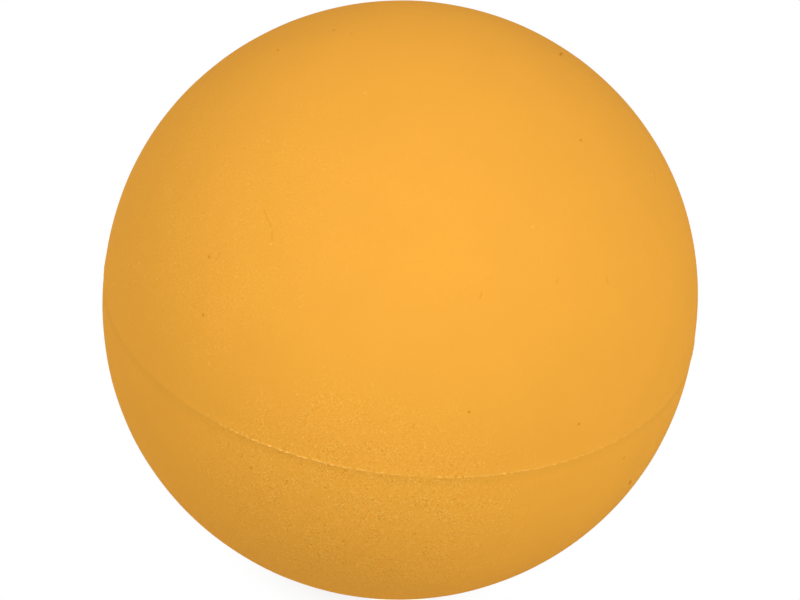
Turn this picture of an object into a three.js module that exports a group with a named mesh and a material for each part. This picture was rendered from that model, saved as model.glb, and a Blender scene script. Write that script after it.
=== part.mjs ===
// Hollow rubber ball: two moulded half shells with bevelled rims, cemented rim to rim.
// Millimetres, +Z up. The origin is the ball's centre and the joint lies in the plane z = 0.
import * as THREE from "three";

// Ball and wall
const BALL_RADIUS = 30; // outer surface away from the joint
const WALL = 4; // rubber wall, the same all round

// The band next to the joint is buffed after curing, so the ball is a little drawn in there
const BUFFED_DEPTH = 0.26;
const BUFFED_REACH = THREE.MathUtils.degToRad(20); // latitude at which the draw-in is down to a third

// Rims of the half shells
const OUTER_BEVEL_DEPTH = 0.5; // radial
const OUTER_BEVEL_HEIGHT = 0.7; // along Z
const INNER_BEVEL_DEPTH = 0.6;
const INNER_BEVEL_HEIGHT = 0.6;

// Cement between the rims
const FILM = 0.3; // thickness between the two flat rims
const RIDGE_PROUD = 0.03; // swell over the filled bevels, above the buffed surface
const FIN_PROUD = 0.1; // trimmed flash that stands on the ridge
const FIN_WIDTH = 0.24; // at its root
const FIN_TIP_WIDTH = 0.08;
const FILLET_PROUD = 0.5; // squeeze-out on the inside wall
const FILLET_HEIGHT = 0.6; // its face towards the hollow

// Steps of the round surfaces
const TURN_STEPS = 64;
const OUTER_STEPS = 16;
const INNER_STEPS = 12;

const RUBBER = { color: new THREE.Color(0xf5ac3e), roughness: 0.7, metalness: 0 };
const CEMENT = { color: new THREE.Color(0xf7b148), roughness: 0.65, metalness: 0 };

const RIM_HEIGHT = FILM / 2;
const innerRadius = BALL_RADIUS - WALL;

/** Radius of the buffed outer surface at a latitude. */
function outerRadius(latitude) {
  return BALL_RADIUS - BUFFED_DEPTH * Math.exp(-((latitude / BUFFED_REACH) ** 2));
}

/** Profile point (distance from the axis, height) at a radius and latitude. */
function onSphere(radius, latitude) {
  return new THREE.Vector2(radius * Math.cos(latitude), radius * Math.sin(latitude));
}

// Corners that the rim of a half shell and the cement share
const outerBevelLatitude = Math.asin((RIM_HEIGHT + OUTER_BEVEL_HEIGHT) / outerRadius(0));
const innerBevelLatitude = Math.asin((RIM_HEIGHT + INNER_BEVEL_HEIGHT) / innerRadius);
const outerEdge = onSphere(outerRadius(outerBevelLatitude), outerBevelLatitude);
const innerEdge = onSphere(innerRadius, innerBevelLatitude);
const outerLand = new THREE.Vector2(outerEdge.x - OUTER_BEVEL_DEPTH, RIM_HEIGHT);
const innerLand = new THREE.Vector2(innerEdge.x + INNER_BEVEL_DEPTH, RIM_HEIGHT);

/** Points from a bevel's edge to the pole, without the edge, the last one exactly on the axis. */
function arcToPole(radiusAt, startLatitude, steps) {
  const points = [];
  for (let i = 1; i < steps; i++) {
    const latitude = THREE.MathUtils.lerp(startLatitude, Math.PI / 2, i / steps);
    points.push(onSphere(radiusAt(latitude), latitude));
  }
  points.push(new THREE.Vector2(0, radiusAt(Math.PI / 2)));
  return points;
}

/** The profile turned upside down, in reverse order so that its faces still point out. */
function turnedOver(profile) {
  return profile.map((p) => new THREE.Vector2(p.x, -p.y)).reverse();
}

/** A solid of revolution about Z. */
function turned(profile, name, look) {
  const geometry = new THREE.LatheGeometry(profile, TURN_STEPS).rotateX(Math.PI / 2);
  const mesh = new THREE.Mesh(geometry, new THREE.MeshStandardMaterial(look));
  mesh.name = name;
  return mesh;
}

/** Half shell: inside wall from the pole down, inner bevel, flat rim, outer bevel, outside up to the pole. */
function halfShellProfile() {
  const inside = arcToPole(() => innerRadius, innerBevelLatitude, INNER_STEPS).reverse();
  const outside = arcToPole(outerRadius, outerBevelLatitude, OUTER_STEPS);
  return [...inside, innerEdge, innerLand, outerLand, outerEdge, ...outside];
}

/** Cement ring: fillet inside, film between the rims, filled bevels, and the ridge with its fin outside. */
function cementProfile() {
  const ridgeRadius = outerRadius(0) + RIDGE_PROUD;
  const finRoot = new THREE.Vector2(ridgeRadius, FIN_WIDTH / 2);
  const finTip = new THREE.Vector2(ridgeRadius + FIN_PROUD, FIN_TIP_WIDTH / 2);
  const filletTop = new THREE.Vector2(innerRadius - FILLET_PROUD, FILLET_HEIGHT / 2);
  const upper = [finTip, finRoot, outerEdge, outerLand, innerLand, innerEdge, filletTop];
  const lower = turnedOver(upper);
  return [...lower, ...upper, lower[0]];
}

const ball = new THREE.Group();
ball.name = "rubber_ball";
ball.add(turned(halfShellProfile(), "upper_half_shell", RUBBER));
ball.add(turned(turnedOver(halfShellProfile()), "lower_half_shell", RUBBER));
ball.add(turned(cementProfile(), "seam_cement", CEMENT));

export default ball;
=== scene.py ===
import bpy
import numpy as np
from mathutils import Matrix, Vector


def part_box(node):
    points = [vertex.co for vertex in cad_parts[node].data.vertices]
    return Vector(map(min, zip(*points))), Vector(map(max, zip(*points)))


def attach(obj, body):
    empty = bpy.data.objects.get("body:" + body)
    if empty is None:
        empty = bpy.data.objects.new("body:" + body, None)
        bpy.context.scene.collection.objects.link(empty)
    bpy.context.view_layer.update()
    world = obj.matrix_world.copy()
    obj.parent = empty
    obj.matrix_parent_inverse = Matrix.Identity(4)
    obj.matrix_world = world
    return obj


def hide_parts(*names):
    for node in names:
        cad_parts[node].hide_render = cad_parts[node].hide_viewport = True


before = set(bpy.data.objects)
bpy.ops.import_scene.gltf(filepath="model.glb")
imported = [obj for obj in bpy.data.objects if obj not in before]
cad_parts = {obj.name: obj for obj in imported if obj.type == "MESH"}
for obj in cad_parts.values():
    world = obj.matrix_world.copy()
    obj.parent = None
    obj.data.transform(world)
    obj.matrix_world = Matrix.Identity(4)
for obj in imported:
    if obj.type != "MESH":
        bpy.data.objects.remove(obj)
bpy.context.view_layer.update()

# Camera: a long lens in front of the ball that looks down on it, so that the seam shows as a low arc.
# It is rolled a little, which lets the seam's right end hang lower than its left end.
MM = 0.001
CAMERA_ELEVATION = np.radians(34.54)
CAMERA_ROLL = np.radians(7.89)
CAMERA_DISTANCE = 705 * MM  # from the ball's centre
FRAME_SIZE = np.array([800, 600])  # pixels
OUTLINE_RADIUS = 299.6  # of the ball in the frame, pixels
SENSOR_WIDTH = 36  # the camera data's own millimetres

ball_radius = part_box("upper_half_shell")[1].z
lens_pixels = OUTLINE_RADIUS * np.sqrt((CAMERA_DISTANCE / ball_radius) ** 2 - 1)
level_up = np.array([0, np.sin(CAMERA_ELEVATION), np.cos(CAMERA_ELEVATION)])
camera_right = np.array([np.cos(CAMERA_ROLL), 0, 0]) + np.sin(CAMERA_ROLL) * level_up
camera_up = np.array([-np.sin(CAMERA_ROLL), 0, 0]) + np.cos(CAMERA_ROLL) * level_up
camera_back = np.cross(camera_right, camera_up)
camera_place = CAMERA_DISTANCE * camera_back

camera_data = bpy.data.cameras.new("photo_lens")
camera_data.sensor_width = SENSOR_WIDTH
camera_data.lens = lens_pixels / FRAME_SIZE[0] * SENSOR_WIDTH
camera = bpy.data.objects.new("photo_camera", camera_data)
camera_axes = np.column_stack([camera_right, camera_up, camera_back, camera_place])
camera.matrix_world = Matrix(camera_axes.tolist() + [[0, 0, 0, 1]])
bpy.context.collection.objects.link(camera)
bpy.context.scene.camera = camera

# Half shells: two cups of filled natural rubber, compression moulded in matched cavities and cured.
# Their bevelled rims are cemented together, and buffing the band beside the joint draws the ball in there.
WALL = 4 * MM
BUFFED_DEPTH = 0.26 * MM
BUFFED_REACH = np.radians(20)  # latitude at which the draw-in is down to a third
OUTER_BEVEL_DEPTH = 0.5 * MM
INNER_BEVEL_DEPTH = 0.6 * MM
INNER_BEVEL_HEIGHT = 0.6 * MM
RIDGE_PROUD = 0.03 * MM  # swell of the surface over the joint
RIDGE_REACH = 0.5 * MM
MISMATCH = 0.010 * MM  # the upper cavity is a little larger at the rim than the lower one
MISMATCH_REACH = 5 * MM
MISMATCH_STEP = 0.25 * MM
OVAL = 0.14 * MM  # the ball's radius is this much longer along one axis than across it
OVAL_AXIS = np.array([0.69, 0.41, 0.60])
RIPPLE_DEPTH = 0.006 * MM  # uneven shrinkage of the wall as it cured
RIPPLE_LENGTHS = (4 * MM, 9 * MM)
RIPPLE_WAVES = 48
SHELL_TURNS = 480
OUTER_STATIONS = 120
OUTER_CROWDING = 1.5  # above 1 the stations crowd towards the seam
INNER_STATIONS = 20
CREASE_ANGLE = np.radians(30)  # a sharper turn of the surface is a crisp corner

inner_radius = ball_radius - WALL
rim_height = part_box("upper_half_shell")[0].z
outer_edge_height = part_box("seam_cement")[1].z
outer_edge_latitude = np.arcsin(outer_edge_height / (ball_radius - BUFFED_DEPTH))
inner_edge_latitude = np.arcsin((rim_height + INNER_BEVEL_HEIGHT) / inner_radius)

rng = np.random.default_rng(60)
ripple_direction = rng.normal(size=(3, RIPPLE_WAVES))
ripple_direction /= np.linalg.norm(ripple_direction, axis=0)
ripple_wave = 2 * np.pi / rng.uniform(*RIPPLE_LENGTHS, RIPPLE_WAVES) * ripple_direction
ripple_phase = rng.uniform(0, 2 * np.pi, RIPPLE_WAVES)


def on_sphere(radius, longitude, latitude):
    """Points at a distance from the ball's centre, towards a longitude and latitude."""
    level = np.cos(latitude)
    direction = [level * np.cos(longitude), level * np.sin(longitude), np.sin(latitude) + 0 * longitude]
    return np.asarray(radius)[..., None] * np.stack(np.broadcast_arrays(*direction), axis=-1)


def outer_radius(longitude, latitude):
    """Distance of the outer surface from the ball's centre.

    A sphere, less a bell curve of latitude where it is buffed, plus a narrow bell curve of height for the
    swell over the joint, a step at the joint that fades with height, the square of the cosine to the long
    axis for the oval, and a sum of plane waves for the ripple.
    """
    point = on_sphere(ball_radius, longitude, latitude)
    height = point[..., 2]
    buffed = BUFFED_DEPTH * np.exp(-((latitude / BUFFED_REACH) ** 2))
    ridge = RIDGE_PROUD * np.exp(-((height / RIDGE_REACH) ** 2))
    step = MISMATCH / 2 * np.tanh(height / MISMATCH_STEP) * np.exp(-np.abs(height) / MISMATCH_REACH)
    oval = OVAL * ((point @ OVAL_AXIS / ball_radius) ** 2 - 1 / 3)
    waves = np.cos(point @ ripple_wave + ripple_phase).sum(axis=-1)
    ripple = RIPPLE_DEPTH * waves * np.sqrt(2 / RIPPLE_WAVES)
    return ball_radius - buffed + ridge + step + oval + ripple


def rim_rings(longitude, side):
    """The four corners of a bevelled rim, from the inside wall to the outside, each turned round the axis."""
    inner_edge = on_sphere(inner_radius, longitude, side * inner_edge_latitude)
    outer_latitude = np.full_like(longitude, side * outer_edge_latitude)
    outer_edge = on_sphere(outer_radius(longitude, outer_latitude), longitude, outer_latitude)
    radial = np.stack([np.cos(longitude), np.sin(longitude), 0 * longitude], axis=-1)
    inner_land = inner_edge + INNER_BEVEL_DEPTH * radial
    outer_land = outer_edge - OUTER_BEVEL_DEPTH * radial
    inner_land[:, 2] = outer_land[:, 2] = side * rim_height
    return np.stack([inner_edge, inner_land, outer_land, outer_edge])


def quad_bands(rows, turns, closed=False):
    """Corner numbers of the quads between neighbouring rings of a turned grid, one row for each band."""
    row = np.arange(rows if closed else rows - 1)[:, None] * turns
    column = np.arange(turns)
    east = (column + 1) % turns
    above = (row + turns) % (rows * turns)
    return np.stack(np.broadcast_arrays(row + column, row + east, above + east, above + column), axis=-1)


def link_piece(name, points, faces, bake_corners, material):
    """A smooth mesh object with crisp corners at its bevels, and the map that its finish is baked on."""
    mesh = bpy.data.meshes.new(name)
    mesh.from_pydata(points.tolist(), [], faces)
    mesh.uv_layers.new(name="OFBake").data.foreach_set("uv", bake_corners.ravel())
    mesh.shade_smooth()
    mesh.set_sharp_from_angle(angle=CREASE_ANGLE)
    mesh.materials.append(material)
    piece = bpy.data.objects.new(name, mesh)
    bpy.context.collection.objects.link(piece)
    return piece


def half_shell(name, side, material):
    """A cup: rings from the inner pole along the inside wall, over the bevelled rim and back outside.

    side is 1 above the seam and -1 below it. The bake map lays the outside out as one disc, by the angle from
    the pole, and the hidden surfaces as a small disc in a corner.
    """
    longitude = np.linspace(0, 2 * np.pi, SHELL_TURNS, endpoint=False)
    inner_latitude = np.linspace(np.pi / 2, inner_edge_latitude, INNER_STATIONS, endpoint=False)[1:, None]
    climb = np.linspace(0, 1, OUTER_STATIONS, endpoint=False)[1:, None] ** OUTER_CROWDING
    outer_latitude = outer_edge_latitude + (np.pi / 2 - outer_edge_latitude) * climb
    inside = on_sphere(inner_radius, longitude, side * inner_latitude)
    outside = on_sphere(outer_radius(longitude, side * outer_latitude), longitude, side * outer_latitude)
    rim = rim_rings(longitude, side)
    rings = np.concatenate([inside, rim, outside])
    pole_radius = outer_radius(np.zeros(1), np.full(1, side * np.pi / 2))
    poles = np.array([[0, 0, side * inner_radius], [0, 0, side * pole_radius[0]]])
    points = np.concatenate([rings.reshape(-1, 3), poles])

    column = np.arange(SHELL_TURNS)
    east = (column + 1) % SHELL_TURNS
    last_ring = (len(rings) - 1) * SHELL_TURNS
    inner_pole = np.full(SHELL_TURNS, len(points) - 2)
    quads = quad_bands(len(rings), SHELL_TURNS)
    inner_fan = np.stack([inner_pole, east, column], axis=-1)
    outer_fan = np.stack([last_ring + column, last_ring + east, inner_pole + 1], axis=-1)

    hidden_disc, outer_disc = np.array([0.082, 0.082]), np.array([0.5, 0.5])
    hidden_size, outer_size = 0.075, 0.49
    hidden_rings = len(inside) + len(rim)
    spoke = np.stack([np.cos(longitude), np.sin(longitude)], axis=-1)
    hidden_reach = hidden_size * np.arange(1, hidden_rings + 1)[:, None, None] / hidden_rings
    outer_reach = outer_size * (1 - np.concatenate([[0], climb[:, 0]]))[:, None, None]
    hidden_map = (hidden_disc + hidden_reach * spoke).reshape(-1, 2)
    outer_map = (outer_disc + outer_reach * spoke).reshape(-1, 2)
    edge_start = (hidden_rings - 1) * SHELL_TURNS
    hidden_quads = quads[: hidden_rings - 1].reshape(-1, 4)
    outer_quads = quads[hidden_rings - 1 :].reshape(-1, 4)
    fan_centre = np.zeros((SHELL_TURNS, 1, 2))
    faces = [hidden_quads, outer_quads, inner_fan, outer_fan]
    corners = [
        hidden_map[hidden_quads],
        outer_map[outer_quads - edge_start],
        np.concatenate([fan_centre + hidden_disc, hidden_map[inner_fan[:, 1:]]], axis=1),
        np.concatenate([outer_map[outer_fan[:, :2] - edge_start], fan_centre + outer_disc], axis=1),
    ]
    if side < 0:  # a mirrored cup keeps its faces outwards when each face is walked the other way
        faces = [face[:, ::-1] for face in faces]
        corners = [corner[:, ::-1] for corner in corners]
    face_list = [walk for face in faces for walk in face.tolist()]
    bake_corners = np.concatenate([corner.reshape(-1, 2) for corner in corners])
    return link_piece(name, points, face_list, bake_corners, material)


# Moulded rubber: dull orange, with a fine grain that is deepest on a few sides, pinholes left by trapped
# air, pale specks of mould dust with a painted glint and hair-thin nicks. The grain's colour flecks are
# partly its own tone and partly painted light on its crests and painted shade in its hollows. Beside the
# joint, painted shade darkens the band just below it and a painted highlight lightens it just above.
RUBBER_COLOUR = (0.95, 0.427, 0.0495, 1)
# painted highlight on the fin of flash, where it stands up
FIN_HIGHLIGHT_COLOUR = (1.0, 0.62, 0.16, 1)
# Pale specks of mould dust with a painted glint: their colour is brighter than any surface reflects
SPECK_AND_GLINT_COLOUR = (1.2, 0.58, 0.115, 1)
PIT_COLOUR = (0.66, 0.22, 0.0, 1)
# The flecks are partly the grain's own tone and partly painted light on its crests and painted shade in its
# hollows
FLECK_AND_PAINTED_LIGHT_COLOUR = (0.27, 0.25, 0.083)  # added on crests, taken from hollows
GRAINS = 5700  # per metre
GRAIN_DEPTH = 0.04 * MM
CLUSTERS = 800  # per metre
PATCHES = 150  # per metre
# Noise from and to, then the share of the grain's depth from and to
CLUSTER_SPREAD = (0.38, 0.66, 0.65, 1.35)
PATCH_SPREAD = (0.3, 0.7, 0.7, 1.3)
NOISE_MIDDLE = 0.49
FLECK_FLOOR = 0.06  # strength of the weakest flecks
FLECK_RISE = 0.6  # growth of the strength with the noise's size
FLECK_BEND = 2.6  # growth with the square of that size
FLECK_LEAN = 0.42  # growth with the noise itself, which makes the pale flecks stronger than the dark ones
FLECK_LIFT = 0.003  # keeps clusters from showing as slow shades
PLAIN_GRAIN = 0.62  # depth of the grain away from the sides where it is deepest
DEEP_GRAIN = 9.3  # added to that where the grain is deepest
DEEP_GRAIN_SPREAD = (0.74, 1.06)  # cosine of the angle to a deep-grain side: the addition starts, would be full
# Directions in which the grain is deepest, each with its share of the added depth. The painted light and
# shade of the grain's flecks grow with that depth too.
DEEP_GRAIN_SIDES = {
    (-0.05, -0.955, -0.29): 1.0,
    (-0.72, -0.46, 0.52): 0.24,
    (0.80, 0.59, 0.05): 0.8,
    (-0.78, 0.62, 0.02): 0.8,
}
# Places of marks on the front, in pixels of the frame
PITS = ((209, 257), (278, 50), (334, 30), (469, 412), (579, 424), (581, 140), (624, 458), (251, 468),
        (203, 315))
LONG_PITS = (((560, 55), (562, 53)), ((629, 483), (630, 484)), ((630, 481), (631, 482)))
SPECKS = ((134, 267), (139, 263), (365, 93), (209, 364), (236, 277), (248, 184), (533, 227), (271, 244))
NICKS = (((264, 210), (271, 227)), ((272, 231), (272, 241)), ((606, 276), (608, 283)),
         ((482, 292), (480, 298)), ((654, 170), (656, 182)), ((558, 279), (557, 283)),
         ((216, 260), (220, 253)))
PIT_WIDTH = 0.24 * MM
SPECK_WIDTH = 0.20 * MM
NICK_WIDTH = 0.13 * MM
MARK_DEPTH = 0.03 * MM
PIT_STRENGTH = 0.75
NICK_STRENGTH = 0.3
SPECK_STRENGTH = 0.8
RAY_ROUNDS = 4  # times that a pixel's ray is met with the ball's own radius
STRAY_START = 5 * MM  # behind the middle; up to here the pits scattered over the back fade in
STRAY_CELLS = 170  # per metre
STRAY_RADIUS = 0.03  # of a cell
# Heights above the joint between which the painted shade and highlight beside it come and go
PAINTED_SHADE_RISE = (-1.6 * MM, -0.4 * MM)
PAINTED_SHADE_FALL = (-0.1 * MM, 0.1 * MM)
PAINTED_HIGHLIGHT_RISE = (0.1 * MM, 0.6 * MM)
PAINTED_HIGHLIGHT_FALL = (0.6 * MM, 1.4 * MM)
PAINTED_HIGHLIGHT_SHARE = 0.12  # how pale the painted highlight is, where the painted shade is 1 darker
# how much darker the painted shade below the joint makes the colour
SEAM_PAINTED_SHADE = 0.035
SLOW_SHADE = 0.06
ROUGHNESS = 0.9
ROUGHNESS_SWING = 0.2
SPECULAR_LEVEL = 0.07
VECTOR, FLOAT = "NodeSocketVector", "NodeSocketFloat"


def add_node(tree, kind, inputs=None, **settings):
    """A new node in a tree, with its settings, and its inputs as constants or as outputs to link from."""
    node = tree.nodes.new(kind)
    for name, value in settings.items():
        setattr(node, name, value)
    for name, value in (inputs or {}).items():
        if isinstance(value, bpy.types.NodeSocket):
            tree.links.new(value, node.inputs[name])
        else:
            node.inputs[name].default_value = value
    return node


def calculate(tree, operation, *values):
    """The output of a math node that takes constants or outputs."""
    return add_node(tree, "ShaderNodeMath", dict(enumerate(values)), operation=operation).outputs[0]


def vector_math(tree, operation, output, *values):
    """The named output of a vector math node that takes constants or outputs."""
    node = add_node(tree, "ShaderNodeVectorMath", dict(enumerate(values)), operation=operation)
    return node.outputs[output]


def scaled(tree, vector, factor):
    """A vector or colour, times a number."""
    node = add_node(tree, "ShaderNodeVectorMath", {0: vector, "Scale": factor}, operation="SCALE")
    return node.outputs["Vector"]


def mixed(tree, share, first, second):
    """A colour that goes from the first colour to the second as share goes from 0 to 1."""
    return add_node(tree, "ShaderNodeMix", {0: share, 6: first, 7: second}, data_type="RGBA").outputs[2]


def slide(tree, value, start, end, first, last):
    """A number that goes smoothly from first to last as value goes from start to end."""
    inputs = {"Value": value, "From Min": start, "From Max": end, "To Min": first, "To Max": last}
    return add_node(tree, "ShaderNodeMapRange", inputs, interpolation_type="SMOOTHSTEP").outputs["Result"]


def new_effect(name, inputs, outputs):
    """An empty shader node group with named sockets: its tree, what it is given and what it puts out."""
    tree = bpy.data.node_groups.new(name, "ShaderNodeTree")
    for socket, kind in inputs.items():
        tree.interface.new_socket(socket, in_out="INPUT", socket_type=kind)
    for socket, kind in outputs.items():
        tree.interface.new_socket(socket, in_out="OUTPUT", socket_type=kind)
    given = tree.nodes.new("NodeGroupInput").outputs
    result = tree.nodes.new("NodeGroupOutput").inputs
    return tree, given, result


def mould_grain_effect():
    """Fine grain about 0, deeper in clusters, patches and on a few sides, and a slow shade.

    A noise about 0, times a strength that grows with the noise's size, makes a few flecks stand out of the
    rest, the pale ones a little more.
    """
    inputs = {
        "Place": VECTOR,
        "Grains per Metre": FLOAT,
        "Clusters per Metre": FLOAT,
        "Patches per Metre": FLOAT,
    }
    tree, given, result = new_effect("mould_grain", inputs, {"Height": FLOAT, "Shade": FLOAT})
    place = given["Place"]
    fine = {"Vector": place, "Scale": given["Grains per Metre"], "Detail": 1, "Roughness": 0.5}
    fine["Distortion"] = 0.6
    tufts = {"Vector": place, "Scale": given["Clusters per Metre"], "Detail": 1, "Roughness": 0.5}
    broad = {"Vector": place, "Scale": given["Patches per Metre"], "Detail": 3, "Roughness": 0.55}
    noise = add_node(tree, "ShaderNodeTexNoise", fine).outputs["Fac"]
    grain = calculate(tree, "SUBTRACT", noise, NOISE_MIDDLE)
    size = calculate(tree, "ABSOLUTE", grain)
    square = calculate(tree, "MULTIPLY", grain, grain)
    strength = calculate(tree, "MULTIPLY_ADD", size, FLECK_RISE, FLECK_FLOOR)
    strength = calculate(tree, "MULTIPLY_ADD", square, FLECK_BEND, strength)
    strength = calculate(tree, "MULTIPLY_ADD", grain, FLECK_LEAN, strength)
    flecks = calculate(tree, "MULTIPLY_ADD", grain, strength, FLECK_LIFT)
    cluster = add_node(tree, "ShaderNodeTexNoise", tufts).outputs["Fac"]
    patch = add_node(tree, "ShaderNodeTexNoise", broad).outputs["Fac"]
    direction = vector_math(tree, "NORMALIZE", "Vector", place)
    deepening = 0
    for side, most in DEEP_GRAIN_SIDES.items():
        facing = vector_math(tree, "DOT_PRODUCT", "Value", direction, side)
        deepening = calculate(tree, "MAXIMUM", deepening, slide(tree, facing, *DEEP_GRAIN_SPREAD, 0, most))
    depth = calculate(tree, "MULTIPLY_ADD", deepening, DEEP_GRAIN, PLAIN_GRAIN)
    depth = calculate(tree, "MULTIPLY", depth, slide(tree, cluster, *CLUSTER_SPREAD))
    depth = calculate(tree, "MULTIPLY", depth, slide(tree, patch, *PATCH_SPREAD))
    tree.links.new(calculate(tree, "MULTIPLY", flecks, depth), result["Height"])
    tree.links.new(calculate(tree, "SUBTRACT", patch, 0.5), result["Shade"])
    return tree


def seam_painted_shade_effect():
    """Painted shade about 0: darker just below the joint, and a painted highlight a little paler above it."""
    tree, given, result = new_effect("seam_painted_shade", {"Place": VECTOR}, {"Shade": FLOAT})
    height = add_node(tree, "ShaderNodeSeparateXYZ", {"Vector": given["Place"]}).outputs["Z"]
    band_rise = slide(tree, height, *PAINTED_SHADE_RISE, 0, 1)
    band_fall = slide(tree, height, *PAINTED_SHADE_FALL, 1, 0)
    shoulder_rise = slide(tree, height, *PAINTED_HIGHLIGHT_RISE, 0, 1)
    shoulder_fall = slide(tree, height, *PAINTED_HIGHLIGHT_FALL, 1, 0)
    below = calculate(tree, "MULTIPLY", band_rise, band_fall)
    above = calculate(tree, "MULTIPLY", shoulder_rise, shoulder_fall)
    darker = calculate(tree, "MULTIPLY", below, -1)
    tree.links.new(calculate(tree, "MULTIPLY_ADD", above, PAINTED_HIGHLIGHT_SHARE, darker), result["Shade"])
    return tree


def scattered_pits_effect():
    """Pinholes at random places: where the surface passes near the centre of a cell, the mask rises to 1."""
    inputs = {"Place": VECTOR, "Cells per Metre": FLOAT, "Radius in Cells": FLOAT}
    tree, given, result = new_effect("scattered_pits", inputs, {"Mask": FLOAT})
    cells = {"Vector": given["Place"], "Scale": given["Cells per Metre"]}
    distance = add_node(tree, "ShaderNodeTexVoronoi", cells).outputs["Distance"]
    tree.links.new(slide(tree, distance, 0, given["Radius in Cells"], 1, 0), result["Mask"])
    return tree


def nick_effect():
    """A single mark: the mask falls from 1 to 0 with the distance from the line between two points."""
    inputs = {"Place": VECTOR, "Start": VECTOR, "End": VECTOR, "Width": FLOAT}
    tree, given, result = new_effect("nick", inputs, {"Mask": FLOAT})
    run = vector_math(tree, "SUBTRACT", "Vector", given["End"], given["Start"])
    offset = vector_math(tree, "SUBTRACT", "Vector", given["Place"], given["Start"])
    along = vector_math(tree, "DOT_PRODUCT", "Value", offset, run)
    whole = vector_math(tree, "DOT_PRODUCT", "Value", run, run)
    share = calculate(tree, "DIVIDE", along, whole)
    share = add_node(tree, "ShaderNodeClamp", {"Value": share}).outputs["Result"]
    distance = vector_math(tree, "DISTANCE", "Value", offset, scaled(tree, run, share))
    tree.links.new(slide(tree, distance, 0, given["Width"], 1, 0), result["Mask"])
    return tree


def under_pixels(pixels):
    """The points of the ball under pixels of the frame.

    Each pixel's ray meets a sphere on its nearer side, and the sphere's radius is set to the ball's own
    there, a few times over.
    """
    offset = np.asarray(pixels, float) - FRAME_SIZE / 2
    ray = offset[..., :1] * camera_right - offset[..., 1:] * camera_up - lens_pixels * camera_back
    ray /= np.linalg.norm(ray, axis=-1, keepdims=True)
    along = -ray @ camera_place
    radius = ball_radius
    for _ in range(RAY_ROUNDS):
        depth = along - np.sqrt(along**2 - CAMERA_DISTANCE**2 + radius**2)
        point = camera_place + depth[..., None] * ray
        latitude = np.arcsin(point[..., 2] / np.linalg.norm(point, axis=-1))
        radius = outer_radius(np.arctan2(point[..., 1], point[..., 0]), latitude)
    return point


mould_grain = mould_grain_effect()
seam_painted_shade = seam_painted_shade_effect()
scattered_pits = scattered_pits_effect()
nick = nick_effect()


def marks(tree, place, lines, width):
    """One mask for all the marks along lines, each line given by the pixels of its two ends."""
    mask = 0
    for start, end in under_pixels(lines):
        inputs = {"Place": place, "Start": start, "End": end, "Width": width}
        one = add_node(tree, "ShaderNodeGroup", inputs, node_tree=nick)
        mask = calculate(tree, "MAXIMUM", mask, one.outputs["Mask"])
    return mask


def rubber_material(name):
    """A new material with its node tree, its shader set to dull rubber, and its Object coordinates."""
    material = bpy.data.materials.new(name)
    material.use_nodes = True
    tree = material.node_tree
    shader = tree.nodes["Principled BSDF"]
    shader.inputs["Specular IOR Level"].default_value = SPECULAR_LEVEL
    place = add_node(tree, "ShaderNodeTexCoord").outputs["Object"]
    return material, tree, shader, place


def finish_rubber(tree, shader, colour, grain, relief):
    """Links the colour, a roughness that follows the slow shade, and the relief in metres as a bump."""
    tree.links.new(colour, shader.inputs["Base Color"])
    roughness = calculate(tree, "MULTIPLY_ADD", grain["Shade"], ROUGHNESS_SWING, ROUGHNESS)
    tree.links.new(roughness, shader.inputs["Roughness"])
    bump = add_node(tree, "ShaderNodeBump", {"Height": relief, "Distance": 1, "Strength": 1})
    tree.links.new(bump.outputs["Normal"], shader.inputs["Normal"])


def grained_rubber(tree, place):
    """The grain, the rubber's colour with its flecks and slow shades, and the grain's relief in metres."""
    inputs = {
        "Place": place,
        "Grains per Metre": GRAINS,
        "Clusters per Metre": CLUSTERS,
        "Patches per Metre": PATCHES,
    }
    grain = add_node(tree, "ShaderNodeGroup", inputs, node_tree=mould_grain).outputs
    # painted shade just below the joint and a painted highlight just above it, put into the colour
    band = add_node(tree, "ShaderNodeGroup", {"Place": place}, node_tree=seam_painted_shade).outputs["Shade"]
    shade = calculate(tree, "MULTIPLY_ADD", grain["Shade"], SLOW_SHADE, 1)
    shade = calculate(tree, "MULTIPLY_ADD", band, SEAM_PAINTED_SHADE, shade)
    colour = scaled(tree, RUBBER_COLOUR[:3], shade)
    # flecks: partly the grain's tone, partly painted light on its crests and painted shade in its hollows
    colour = vector_math(tree, "MULTIPLY_ADD", "Vector", grain["Height"], FLECK_AND_PAINTED_LIGHT_COLOUR, colour)
    return grain, colour, calculate(tree, "MULTIPLY", grain["Height"], GRAIN_DEPTH)


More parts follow.
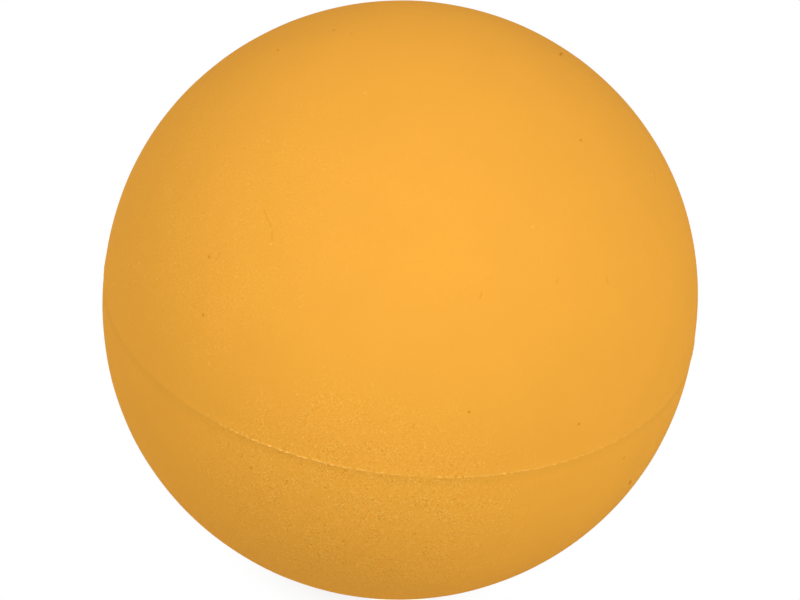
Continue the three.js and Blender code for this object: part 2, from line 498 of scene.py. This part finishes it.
def moulded_rubber():
    """The shells' rubber: pits and nicks are sunk and darker; specks stand out, paler with a painted glint.
    """
    material, tree, shader, place = rubber_material("moulded_rubber")
    grain, colour, relief = grained_rubber(tree, place)
    cells = {"Place": place, "Cells per Metre": STRAY_CELLS, "Radius in Cells": STRAY_RADIUS}
    stray = add_node(tree, "ShaderNodeGroup", cells, node_tree=scattered_pits).outputs["Mask"]
    behind = add_node(tree, "ShaderNodeSeparateXYZ", {"Vector": place}).outputs["Y"]
    stray = calculate(tree, "MULTIPLY", stray, slide(tree, behind, 0, STRAY_START, 0, 1))
    pit_lines = [(pit, pit) for pit in PITS] + list(LONG_PITS)
    pits = calculate(tree, "MAXIMUM", stray, marks(tree, place, pit_lines, PIT_WIDTH))
    specks = marks(tree, place, [(speck, speck) for speck in SPECKS], SPECK_WIDTH)
    nicks = marks(tree, place, NICKS, NICK_WIDTH)
    colour = mixed(tree, calculate(tree, "MULTIPLY", pits, PIT_STRENGTH), colour, PIT_COLOUR)
    colour = mixed(tree, calculate(tree, "MULTIPLY", nicks, NICK_STRENGTH), colour, PIT_COLOUR)
    # specks: paler dust with a painted glint
    colour = mixed(tree, calculate(tree, "MULTIPLY", specks, SPECK_STRENGTH), colour, SPECK_AND_GLINT_COLOUR)
    relief = calculate(tree, "MULTIPLY_ADD", pits, -MARK_DEPTH, relief)
    relief = calculate(tree, "MULTIPLY_ADD", nicks, -MARK_DEPTH / 2, relief)
    relief = calculate(tree, "MULTIPLY_ADD", specks, MARK_DEPTH, relief)
    finish_rubber(tree, shader, colour, grain, relief)
    return material


rubber = moulded_rubber()
for node, name, side in (
    ("upper_half_shell", "moulded_upper_half", 1),
    ("lower_half_shell", "moulded_lower_half", -1),
):
    cup = half_shell(name, side, rubber)
    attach(cup, "root")
    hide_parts(node)

# Seam cement: a ring of rubber cement cured between the rims. It fills both bevels, leaves a fillet on the
# inside wall, and stands out as a thin fin of flash, trimmed by hand, so that it is ragged and broken.
FILLET_PROUD = 0.5 * MM
FILLET_HEIGHT = 0.6 * MM
FIN_PROUD = 0.065 * MM
FIN_CREST = -0.02 * MM  # height of the fin's crest above the middle of the joint
FIN_UPPER_FACE = 0.19 * MM  # gentle side, left by the trimming knife
FIN_LOWER_FACE = 0.10 * MM  # steep side
FIN_WANDER = 0.025 * MM
FIN_RAGGED = 0.7
RAGGED_WAVES = (90, 320)  # whole waves round the seam, fewest and most
WANDER_WAVES = (20, 90)
FIN_ZONE = (-0.15 * MM, 0.45 * MM)  # heights between which the rings are close together
ZONE_RINGS = (8, 30, 5)  # below the zone, in it and above it
# share of the painted highlight on the fin at its full height
FIN_HIGHLIGHT_SHARE = 0.42
# Share of the fin's full height at degrees from the front, counted towards the left; below 0 it is torn out
FIN_LEFT = {
    -180: 0.3, -140: 0.55, -100: 0.35, -66: 0.2, -54: 0.35, -44: 0.5, -32: 0.65, -12: 0.65, -10: 0.15,
    -6: 0.15, -4: 0.35, 8: 0.85, 17: 1.1, 27: 0.7, 34: 0.25, 42: 0.0, 60: -0.1, 75: -0.05, 100: 0.4,
    140: 0.6,
}
CEMENT_TURNS = 1440
CEMENT_STRIPS = 12  # the bake map cuts the ring into strips laid one above the other
STRIP_END_MARGIN = 0.005  # of the map's width
STRIP_SIDE_MARGIN = 0.05  # of a strip's height


def wander(longitude, fewest, most, waves=24):
    """A line that wanders round the seam about 0 with a spread of 1: cosines of seeded counts and phases."""
    counts = rng.integers(fewest, most, waves)[:, None]
    phases = rng.uniform(0, 2 * np.pi, waves)[:, None]
    return np.cos(counts * longitude + phases).sum(axis=0) * np.sqrt(2 / waves)


def fin_share(longitude, height):
    """Share of the flash's full height: a hump across the joint, steep below its crest and gentle above."""
    front = (-90 - np.degrees(longitude) + 180) % 360 - 180
    share = np.interp(front, list(FIN_LEFT), list(FIN_LEFT.values()), period=360)
    ragged = share * (1 + FIN_RAGGED * wander(longitude, *RAGGED_WAVES))
    crest = FIN_CREST + FIN_WANDER * wander(longitude, *WANDER_WAVES)
    off = height - crest
    reach = np.clip(np.where(off > 0, off / FIN_UPPER_FACE, off / FIN_LOWER_FACE), -1, 1)
    return ragged * np.cos(np.pi / 2 * reach) ** 2


def cement_ring(name, material):
    """A closed ring: the outside, then the upper rim's corners, the fillet and the lower rim's corners.

    The outside is the ball's own surface across the joint, raised by the fin's share of its full height.
    """
    longitude = np.linspace(0, 2 * np.pi, CEMENT_TURNS, endpoint=False)
    shoulder = outer_edge_height
    heights = np.concatenate([
        np.linspace(-shoulder, FIN_ZONE[0], ZONE_RINGS[0], endpoint=False),
        np.linspace(*FIN_ZONE, ZONE_RINGS[1], endpoint=False),
        np.linspace(FIN_ZONE[1], shoulder, ZONE_RINGS[2]),
    ])
    latitude = outer_edge_latitude * (heights / shoulder)[:, None]
    fin = fin_share(longitude, heights[:, None])
    outside = on_sphere(outer_radius(longitude, latitude) + FIN_PROUD * fin, longitude, latitude)
    radial = np.stack([np.cos(longitude), np.sin(longitude), 0 * longitude], axis=-1)
    up = np.array([0, 0, 1])
    fillet_top = (inner_radius - FILLET_PROUD) * radial + FILLET_HEIGHT / 2 * up
    fillet_low = (inner_radius - FILLET_PROUD) * radial - FILLET_HEIGHT / 2 * up
    upper = rim_rings(longitude, 1)[2::-1]
    lower = rim_rings(longitude, -1)[:3]
    rings = np.concatenate([outside, upper, [fillet_top, fillet_low], lower])

    quads = quad_bands(len(rings), CEMENT_TURNS, closed=True)
    band, column = np.meshgrid(np.arange(len(rings)), np.arange(CEMENT_TURNS), indexing="ij")
    strip_turns = CEMENT_TURNS // CEMENT_STRIPS
    along = (column % strip_turns)[..., None] + np.array([0, 1, 1, 0])
    across = band[..., None] + np.array([0, 0, 1, 1])
    u = STRIP_END_MARGIN + (1 - 2 * STRIP_END_MARGIN) * along / strip_turns
    rise = STRIP_SIDE_MARGIN + (1 - 2 * STRIP_SIDE_MARGIN) * across / len(rings)
    v = ((column // strip_turns)[..., None] + rise) / CEMENT_STRIPS
    faces = quads.reshape(-1, 4).tolist()
    piece = link_piece(name, rings.reshape(-1, 3), faces, np.stack([u, v], axis=-1), material)
    flash = np.concatenate([fin.ravel(), np.zeros(rings[len(outside):, :, 0].size)])
    piece.data.attributes.new("flash", "FLOAT", "POINT").data.foreach_set("value", flash)
    return piece


def cured_cement():
    """The ring's rubber: like the shells', with a painted highlight where the flash stands up."""
    material, tree, shader, place = rubber_material("cured_cement")
    grain, colour, relief = grained_rubber(tree, place)
    flash = add_node(tree, "ShaderNodeAttribute", attribute_name="flash").outputs["Fac"]
    # painted highlight where the fin stands up
    pale = calculate(tree, "MULTIPLY", flash, FIN_HIGHLIGHT_SHARE)
    pale = add_node(tree, "ShaderNodeClamp", {"Value": pale}).outputs["Result"]
    colour = mixed(tree, pale, colour, FIN_HIGHLIGHT_COLOUR)
    finish_rubber(tree, shader, colour, grain, relief)
    return material


seam = cement_ring("cured_seam", cured_cement())
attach(seam, "root")
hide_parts("seam_cement")

# Studio: a floor of white paper under the ball, lit a little from below, soft round lamps in front and
# behind, and an even white world. Floor and world show white to the camera, and the floor keeps the ball's
# soft shadow round its foot.
FLOOR_REACH = 3  # metres to each side, as the lamps' sizes below are in metres too
FLOOR_CLEARANCE = 0.03 * MM  # below the ball, whose ripple could break through otherwise
SHADOW_REACH = 16 * MM
FOOT_WHITE = 0.5  # share of plain white in what is seen of the floor right under the ball
PAPER_COLOUR = (0.57, 0.59, 0.50, 1)
PAPER_GLOW = 0.12  # light that comes through the paper from below
LAMP_DISTANCE = 0.9
LAMP_SIZE = 0.6
WORLD_LEVEL = 0.3
LAMPS = {  # degrees from the front towards the right, degrees above the level, and watts
    "key_right": (41, 44, 4.6),
    "fill_left": (-64, 38, 2.75),
    "back_left": (-140, 25, 0.4),
    "back_right": (140, 25, 0.4),
}


def seen_directly(tree):
    """1 for rays from the camera, in mirrors and through glass, which see the plain white background."""
    rays = add_node(tree, "ShaderNodeLightPath").outputs
    mirrored = calculate(tree, "MAXIMUM", rays["Is Glossy Ray"], rays["Is Transmission Ray"])
    return calculate(tree, "MAXIMUM", rays["Is Camera Ray"], mirrored)


def studio_floor():
    """A level square just under the ball's lowest point, clear when it is seen from below."""
    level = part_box("lower_half_shell")[0].z - FLOOR_CLEARANCE
    corners = [(x, y, level) for x, y in ((-1, -1), (1, -1), (1, 1), (-1, 1))]
    mesh = bpy.data.meshes.new("studio_floor")
    mesh.from_pydata([(FLOOR_REACH * x, FLOOR_REACH * y, z) for x, y, z in corners], [], [(0, 1, 2, 3)])
    material = bpy.data.materials.new("white_paper")
    material.use_nodes = True
    tree = material.node_tree
    tree.nodes.remove(tree.nodes["Principled BSDF"])
    matt = add_node(tree, "ShaderNodeBsdfDiffuse", {"Color": PAPER_COLOUR}).outputs["BSDF"]
    through = {"Color": (1, 1, 1, 1), "Strength": PAPER_GLOW}
    glow = add_node(tree, "ShaderNodeEmission", through).outputs["Emission"]
    paper = add_node(tree, "ShaderNodeAddShader", {0: matt, 1: glow}).outputs["Shader"]
    white = add_node(tree, "ShaderNodeEmission", {"Color": (1, 1, 1, 1), "Strength": 1}).outputs["Emission"]
    place = add_node(tree, "ShaderNodeTexCoord").outputs["Object"]
    away = vector_math(tree, "LENGTH", "Value", vector_math(tree, "MULTIPLY", "Vector", place, (1, 1, 0)))
    whiteness = slide(tree, away, 0, SHADOW_REACH, FOOT_WHITE, 1)
    share = calculate(tree, "MULTIPLY", seen_directly(tree), whiteness)
    upper = add_node(tree, "ShaderNodeMixShader", {0: share, 1: paper, 2: white}).outputs["Shader"]
    below = add_node(tree, "ShaderNodeNewGeometry").outputs["Backfacing"]
    clear = add_node(tree, "ShaderNodeBsdfTransparent").outputs["BSDF"]
    shown = add_node(tree, "ShaderNodeMixShader", {0: below, 1: upper, 2: clear}).outputs["Shader"]
    tree.links.new(shown, tree.nodes["Material Output"].inputs["Surface"])
    mesh.materials.append(material)
    floor = bpy.data.objects.new("studio_floor", mesh)
    bpy.context.collection.objects.link(floor)


def studio_world():
    """White where it is seen directly, and a low even light elsewhere."""
    world = bpy.data.worlds.new("studio_world")
    world.use_nodes = True
    tree = world.node_tree
    background = tree.nodes["Background"]
    background.inputs["Color"].default_value = (1, 1, 1, 1)
    strength = calculate(tree, "MULTIPLY_ADD", seen_directly(tree), 1 - WORLD_LEVEL, WORLD_LEVEL)
    tree.links.new(strength, background.inputs["Strength"])
    bpy.context.scene.world = world


def studio_lamp(name, azimuth, elevation, watts):
    """A round soft lamp that faces the ball's centre."""
    turn, lift = np.radians([azimuth, elevation])
    back = np.array([np.sin(turn) * np.cos(lift), -np.cos(turn) * np.cos(lift), np.sin(lift)])
    right = np.array([np.cos(turn), np.sin(turn), 0])
    data = bpy.data.lights.new(name, "AREA")
    data.shape = "DISK"
    data.size = LAMP_SIZE
    data.energy = watts
    lamp = bpy.data.objects.new(name, data)
    axes = np.column_stack([right, np.cross(back, right), back, LAMP_DISTANCE * back])
    lamp.matrix_world = Matrix(axes.tolist() + [[0, 0, 0, 1]])
    bpy.context.collection.objects.link(lamp)


studio_floor()
studio_world()
for name, setting in LAMPS.items():
    studio_lamp(name, *setting)
bpy.context.scene.view_settings.view_transform = "Standard"
